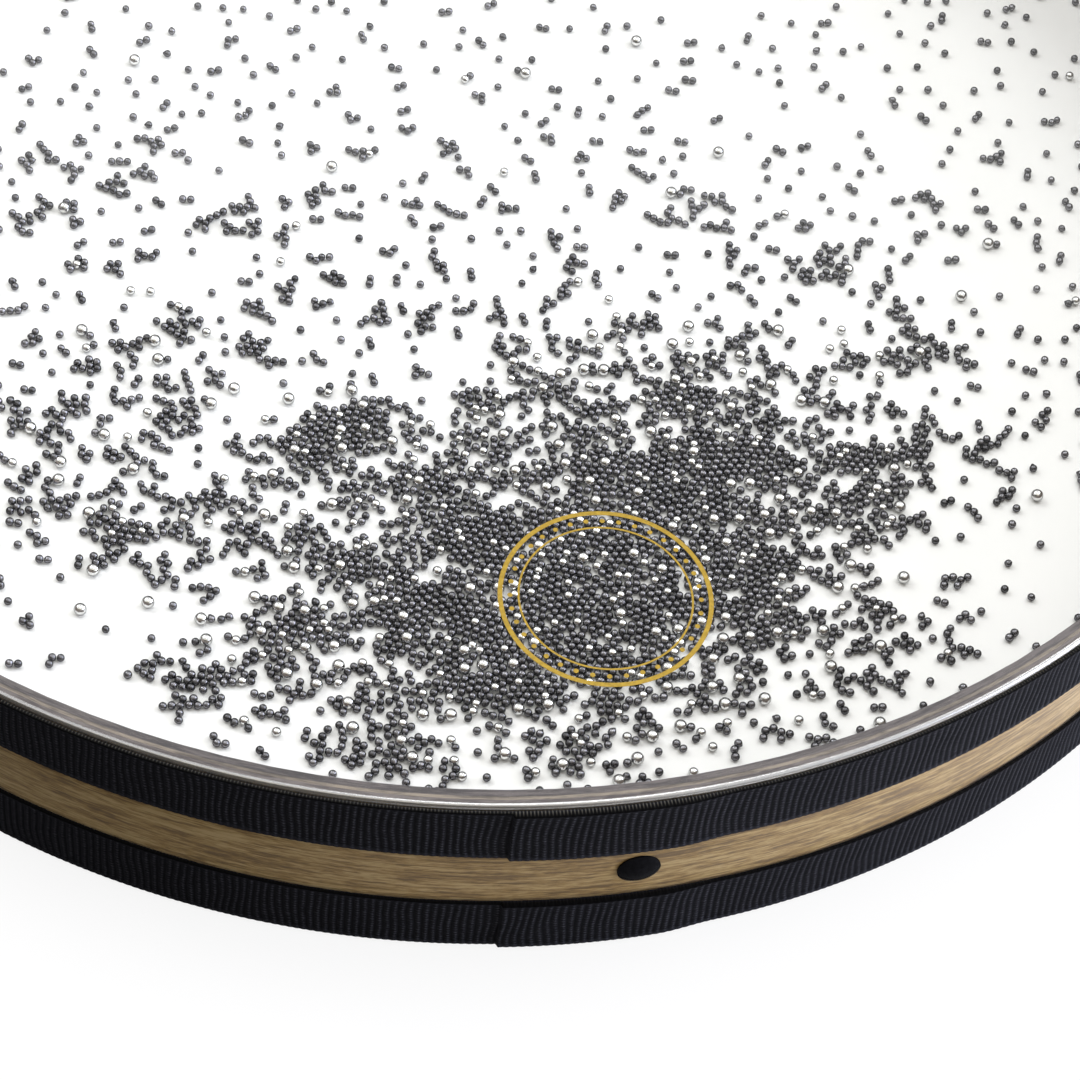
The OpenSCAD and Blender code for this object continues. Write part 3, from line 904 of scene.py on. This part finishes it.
def lane_posts(tray):
    """Keeps the lanes of the lone balls free: places that no ball may come near."""
    for joint in frame["joints"]:
        if not joint["name"].startswith("lone_roll"):
            continue
        node = joint["child"].replace("lone_", "lone_ball_")
        x, y, r = node_balls(node)[0]
        length = joint["range_m"][1] / MM
        for k in range(int(length) + 2):
            rolled = min(k, length)
            tray.add(x + joint["axis"][0] * rolled, y + joint["axis"][1] * rolled, r, "apart")


def close_pairs(places, reach):
    """Index pairs of the places that lie within reach of each other."""
    tree = kdtree.KDTree(len(places))
    for k, (x, y) in enumerate(places):
        tree.insert((x, y, 0), k)
    tree.balance()
    pairs = [
        (k, other) for k, (x, y) in enumerate(places)
        for _, other, _ in tree.find_range((x, y, 0), reach) if other > k
    ]
    return np.array(pairs).T


def settle(balls, loose_from):
    """Pushes the balls from that index on off each other and off the rest. The most crowded are dropped."""
    places = np.array([ball[:2] for ball in balls])
    radius = np.array([ball[2] for ball in balls])
    apart = np.array([ball[3] == "apart" for ball in balls])
    loose = np.arange(len(balls)) >= loose_from
    kept = np.ones(len(balls), bool)

    def loose_pairs():
        a, b = close_pairs(places, SETTLE_REACH)
        used = kept[a] & kept[b] & (loose[a] | loose[b])
        a, b = a[used], b[used]
        lying = 2 * np.sqrt(radius[a] * radius[b]) + BALL_GAP
        return a, b, np.where(apart[a] | apart[b], radius[a] + radius[b] + APART_GAP, lying)

    for slack in SETTLE_ROUNDS:
        for k in range(ROUND_STEPS):
            if k % STEPS_A_LOOK == 0:
                a, b, least = loose_pairs()
                share = np.where(loose[a], np.where(loose[b], 0.5, 1.0), 0.0)
            between = places[b] - places[a]
            distance = np.maximum(np.linalg.norm(between, axis=1), TINY)
            push = (np.maximum(least - distance, 0) / distance)[:, None] * between
            np.add.at(places, a, -push * share[:, None])
            np.add.at(places, b, push * (1 - share)[:, None])
            out = np.linalg.norm(places, axis=1)
            limit = WALL_R - radius
            beyond = loose & (out > limit)
            places[beyond] *= (limit / out)[beyond][:, None]
        a, b, least = loose_pairs()
        over = least - np.linalg.norm(places[b] - places[a], axis=1)
        last = slack == SETTLE_ROUNDS[-1]
        eased = set()
        for k in np.argsort(-over):
            if over[k] < slack:
                break
            if kept[a[k]] and kept[b[k]] and (last or b[k] not in eased):
                kept[b[k]] = False
                eased.update(a[b == b[k]])
                eased.update(b[a == b[k]])
    return [(*places[k], balls[k][2], balls[k][3]) for k in np.flatnonzero(kept)]


def pack_rows(tray, rng):
    """Lays rows of shot where it lies thickest, clear of the middles of the balls that are there."""
    n = int(FIELD_R / ROW_PITCH) + 2
    for j in range(-n, n):
        for i in range(-n, n):
            along = ROW_PITCH * (i + 0.5 * (j % 2))
            up = ROW_PITCH * math.sqrt(0.75) * j
            x = along * math.cos(ROW_TURN) - up * math.sin(ROW_TURN)
            y = along * math.sin(ROW_TURN) + up * math.cos(ROW_TURN)
            x += ROW_WARP * drift(x, y, ROW_WARP_SIZE, ROW_WARP_LAYERS[0])
            y += ROW_WARP * drift(x, y, ROW_WARP_SIZE, ROW_WARP_LAYERS[1])
            if math.hypot(x, y) > FIELD_R or cover(x, y) < HEAP_COVER or rng.random() < ROW_GAPS:
                continue
            kind, r = "extra", DARK_R * rng.uniform(*ROW_SIZES)
            if rng.random() < STEEL_SHARE:
                kind, r = "extra_steel", SMALL_STEEL_R
            there = tray.nearest(x, y, ROW_CLEAR)
            if there and math.hypot(x - there[0], y - there[1]) < ROW_OVERLAP * tray.spacing(r, there):
                continue
            tray.add(x, y, r, kind)


def fill_tray():
    """All the balls: the frame's, rows in the heap, and loose ones until each square has its share."""
    rng = random.Random(FILL_SEED)
    tray = Tray()
    lane_posts(tray)
    tray.add(*node_balls("lead_ball")[0], "apart")
    for node in sorted(frame["nodes"]):
        if node.startswith(("dark_shot", "small_steel", "large_steel")):
            for ball in node_balls(node):
                tray.add(*ball, node)
    packed = len(tray.balls)
    pack_rows(tray, rng)
    n = int(FIELD_R // FILL_SQUARE) + 1
    squares = [(i, j) for i in range(-n, n + 1) for j in range(-n, n + 1)]
    rng.shuffle(squares)

    def ball_near(cx, cy):
        x = cx + (rng.random() - 0.5) * FILL_SQUARE
        y = cy + (rng.random() - 0.5) * FILL_SQUARE
        return x, y, DARK_R * rng.uniform(*LOOSE_SIZES), "extra"

    crowd = []
    for i, j in squares:
        cx, cy = (i + 0.5) * FILL_SQUARE, (j + 0.5) * FILL_SQUARE
        if math.hypot(cx, cy) > FIELD_R + FILL_SQUARE / 2:
            continue
        wanted = min(MOST_COVER, cover(cx, cy)) * FILL_SQUARE * FILL_SQUARE / (math.pi * DARK_R * DARK_R)
        held = sum(
            1 for ball in tray.near(cx, cy, FILL_SQUARE)
            if abs(ball[0] - cx) <= FILL_SQUARE / 2 and abs(ball[1] - cy) <= FILL_SQUARE / 2
        )
        count = int(wanted - held + rng.random())
        tries = 0
        while count > 0 and tries < ROLL_TRIES:
            tries += 1
            if roll_in(tray, *ball_near(cx, cy)):
                count -= 1
        crowd += [ball_near(cx, cy) for _ in range(count)]
    return settle(tray.balls + crowd, packed)


# Shot: its meshes

DARK_DETAIL = 3
STEEL_DETAIL = 4
BALLS_A_PIECE = 600
MORE_SHOT_SEED = 100
MORE_STEEL_SEED = 90
LONE_SEED = 50
LONE_BALLS = 4
# How far the balls' tones lie from the middle one
TONE_SPREAD = 0.22
# Cast balls: how far they are from round, and the tails that some of them have
CAST_UNEVEN = 0.05
TAIL_SHARE = 0.3
TAIL_SIZE = (0.15, 0.42)
TAIL_SHARPNESS = (8, 26)
TAIL_RISE = 0.4
TAIL_DRAW = 0.12


def unit_ball(subdivisions):
    work = bmesh.new()
    bmesh.ops.create_icosphere(work, subdivisions=subdivisions, radius=1)
    points = np.array([v.co[:] for v in work.verts])
    faces = np.array([[v.index for v in f.verts] for f in work.faces])
    work.free()
    return points, faces


def directions(rng, count, rise=1.0):
    """Random directions, as long as 1, that reach that much of the way up or down."""
    found = rng.normal(size=(count, 3))
    found[:, 2] *= rise
    return found / np.linalg.norm(found, axis=1, keepdims=True)


def cast_shape(rng, count, unit):
    """Radius at each point of cast balls of radius 1: a little oval, and some drawn out into a tail."""
    lean = directions(rng, count)
    shape = 1 + CAST_UNEVEN * (unit @ lean.T).T ** 2 * rng.uniform(-1, 1, (count, 1))
    tail = directions(rng, count, TAIL_RISE)
    size = np.where(rng.random(count) < TAIL_SHARE, rng.uniform(*TAIL_SIZE, count), 0)[:, None]
    sharpness = rng.uniform(*TAIL_SHARPNESS, (count, 1))
    shape += size * np.exp(sharpness * ((unit @ tail.T).T - 1))
    return shape * (1 - size * TAIL_DRAW)


def ball_piece(name, balls, material, body, seed, replaced=()):
    """One mesh of many balls, each of them (x, y, radius) in millimetres and lying on the white head."""
    rng = np.random.default_rng(seed)
    cast = material is DARK
    unit, faces = unit_ball(DARK_DETAIL if cast else STEEL_DETAIL)
    count = len(balls)
    x, y, radius = np.array(balls, float).T[:, :, None]
    shape = cast_shape(rng, count, unit) if cast else np.ones((count, len(unit)))
    points = np.stack([x, y, FLOOR_Z + radius], -1) + unit[None] * (shape * radius)[:, :, None]
    low = points[:, :, 2].min(1)
    points[:, :, 2] += (FLOOR_Z - low)[:, None]
    all_faces = faces[None] + (np.arange(count) * len(unit))[:, None, None]
    points = points.reshape(-1, 3) * MM
    piece = new_piece(name, points, all_faces.reshape(-1, 3), material, body, replaced)
    tones = np.clip(rng.normal(0.5, TONE_SPREAD, count), 0, 1)
    point_values(piece, "tone", np.repeat(tones, len(unit)))


def make_shot():
    """Fine balls in place of the frame's, and between them all those that the frame has not."""
    by_kind = {}
    for x, y, r, kind in fill_tray():
        if kind != "apart":
            by_kind.setdefault(kind, []).append((x, y, r))
    for seed, (kind, balls) in enumerate(sorted(by_kind.items())):
        if kind.startswith("dark_shot"):
            ball_piece(kind + "_fine", balls, DARK, "charge", seed, (kind,))
        elif not kind.startswith("extra"):
            ball_piece(kind + "_fine", balls, STEEL, "charge", seed, (kind,))
    extras = sorted(by_kind["extra"])
    groups = math.ceil(len(extras) / BALLS_A_PIECE)
    for k in range(groups):
        part = extras[k * len(extras) // groups : (k + 1) * len(extras) // groups]
        ball_piece(f"more_shot_{k + 1}", part, DARK, "charge", MORE_SHOT_SEED + k)
    more_steel = sorted(by_kind["extra_steel"])
    ball_piece("more_steel", more_steel, STEEL, "charge", MORE_STEEL_SEED)
    lone = [(f"lone_ball_{k}", f"lone_{k}") for k in range(1, LONE_BALLS + 1)]
    for node, body in [("lead_ball", "lead")] + lone:
        ball_piece(node + "_fine", node_balls(node), STEEL, body, LONE_SEED, (node,))
    print("extra dark shot:", len(extras), "extra steel balls:", len(more_steel))


make_shot()

# Floor, world and lamps

PICTURE_RIGHT = (math.cos(CAMERA_TURN), math.sin(CAMERA_TURN), 0)
PICTURE_AWAY = (-math.sin(CAMERA_TURN), math.cos(CAMERA_TURN), 0)
PICTURE_UP = (0, 0, 1)
FLOOR_SIDE = 12
FLOOR_COLOUR = (0.92, 0.92, 0.92, 1)
FLOOR_SEEN = 0.86
# The floor lights the drum more from its right: where that changes, and from what to what
BOUNCE_EDGES = (-0.05, 0.35)
BOUNCE_LOW = 0.06
BOUNCE_HIGH = 0.9
OVERHEAD_LIGHT = 1.06
GAP_LIGHT = 0.5
LOW_LIGHT = 0.4
NEAR_LEFT_LIGHT = 0.1
RIGHT_LIGHT = 7.0
PLAIN_TINT = (1.0, 1.0, 1.0, 1)
WARM_TINT = (1.06, 0.98, 0.84, 1)
COOL_TINT = (0.90, 0.95, 1.12, 1)
# Where the parts of the studio begin and where they are full, as shares of a direction of length 1
GAP_EDGES = (0.015, 0.04)
OVERHEAD_EDGES = (0.34, 0.44)
NEAR_EDGES = (-0.25, -0.5)
LEFT_EDGES = (0.55, 0.3)
NEAR_LEFT_RISE = 0.38
RIGHT_EDGES = (0.66, 0.8)
RIGHT_TOP_EDGES = (0.65, 0.5)
RIGHT_NEAR_EDGES = (-0.35, -0.2)


def make_floor():
    """White where the camera sees it, but for the drum's shadow, and duller where it lights the drum."""
    material, tree = new_material("floor")
    seen = tree.nodes.new("ShaderNodeLightPath")
    is_seen = (seen, "Is Camera Ray")
    where = tree.nodes.new("ShaderNodeTexCoord")
    right = part_along(tree, (where, "Object"), PICTURE_RIGHT)
    bounce = map_range(tree, right, BOUNCE_EDGES, To_Min=BOUNCE_LOW, To_Max=BOUNCE_HIGH)
    colour = mix(tree, "RGBA", is_seen, bounce, FLOOR_COLOUR)
    matt = add(tree, "ShaderNodeBsdfDiffuse", Color=colour)
    glow = tree.nodes.new("ShaderNodeEmission")
    share = calc(tree, "MULTIPLY", is_seen, FLOOR_SEEN)
    show(tree, *mix_shaders(tree, share, (matt, "BSDF"), (glow, "Emission")))
    bpy.ops.mesh.primitive_plane_add(size=FLOOR_SIDE)
    floor = bpy.context.object
    floor.name = "floor"
    floor.data.materials.append(material)


def make_world():
    """A studio: bright overhead but for a gap, dark and warm at the near left, bright and cool right."""
    world = bpy.data.worlds.new("world")
    bpy.context.scene.world = world
    world.use_nodes = True
    tree = world.node_tree
    tree.nodes.clear()
    where = tree.nodes.new("ShaderNodeTexCoord")
    right = part_along(tree, (where, "Generated"), PICTURE_RIGHT)
    away = part_along(tree, (where, "Generated"), PICTURE_AWAY)
    above = part_along(tree, (where, "Generated"), PICTURE_UP)

    def step(source, edges):
        return map_range(tree, source, edges, interpolation_type="SMOOTHSTEP")

    off_middle = step(calc(tree, "ABSOLUTE", right), GAP_EDGES)
    overhead = mix(tree, "FLOAT", off_middle, GAP_LIGHT, OVERHEAD_LIGHT)
    near_left = calc(tree, "MULTIPLY", step(away, NEAR_EDGES), step(right, LEFT_EDGES))
    low = mix(tree, "FLOAT", near_left, LOW_LIGHT, NEAR_LEFT_LIGHT)
    height = calc(tree, "MULTIPLY_ADD", near_left, -NEAR_LEFT_RISE, above)
    light = mix(tree, "FLOAT", step(height, OVERHEAD_EDGES), low, overhead)
    not_high = calc(tree, "MULTIPLY", step(right, RIGHT_EDGES), step(above, RIGHT_TOP_EDGES))
    right_panel = calc(tree, "MULTIPLY", not_high, step(away, RIGHT_NEAR_EDGES))
    strength = mix(tree, "FLOAT", right_panel, light, RIGHT_LIGHT)
    warmed = mix(tree, "RGBA", near_left, PLAIN_TINT, WARM_TINT)
    tinted = mix(tree, "RGBA", right_panel, warmed, COOL_TINT)
    back = add(tree, "ShaderNodeBackground", Color=tinted, Strength=strength)
    add(tree, "ShaderNodeOutputWorld", Surface=(back, "Background"))


def lamp(name, place, side, power):
    """A square panel that shines at the drum's foot."""
    data = bpy.data.lights.new(name, "AREA")
    data.size = side
    data.energy = power
    light = bpy.data.objects.new(name, data)
    light.location = place
    light.rotation_mode = "QUATERNION"
    light.rotation_quaternion = (-Vector(place)).to_track_quat("-Z", "Y")
    bpy.context.scene.collection.objects.link(light)


make_floor()
make_world()
lamp("panel_left", (-1.0, 0.9, 1.6), 0.9, 13)
lamp("panel_right", (1.15, 0.3, 1.6), 0.7, 6)
lamp("panel_over", (0.25, -0.1, 1.9), 0.6, 6.5)
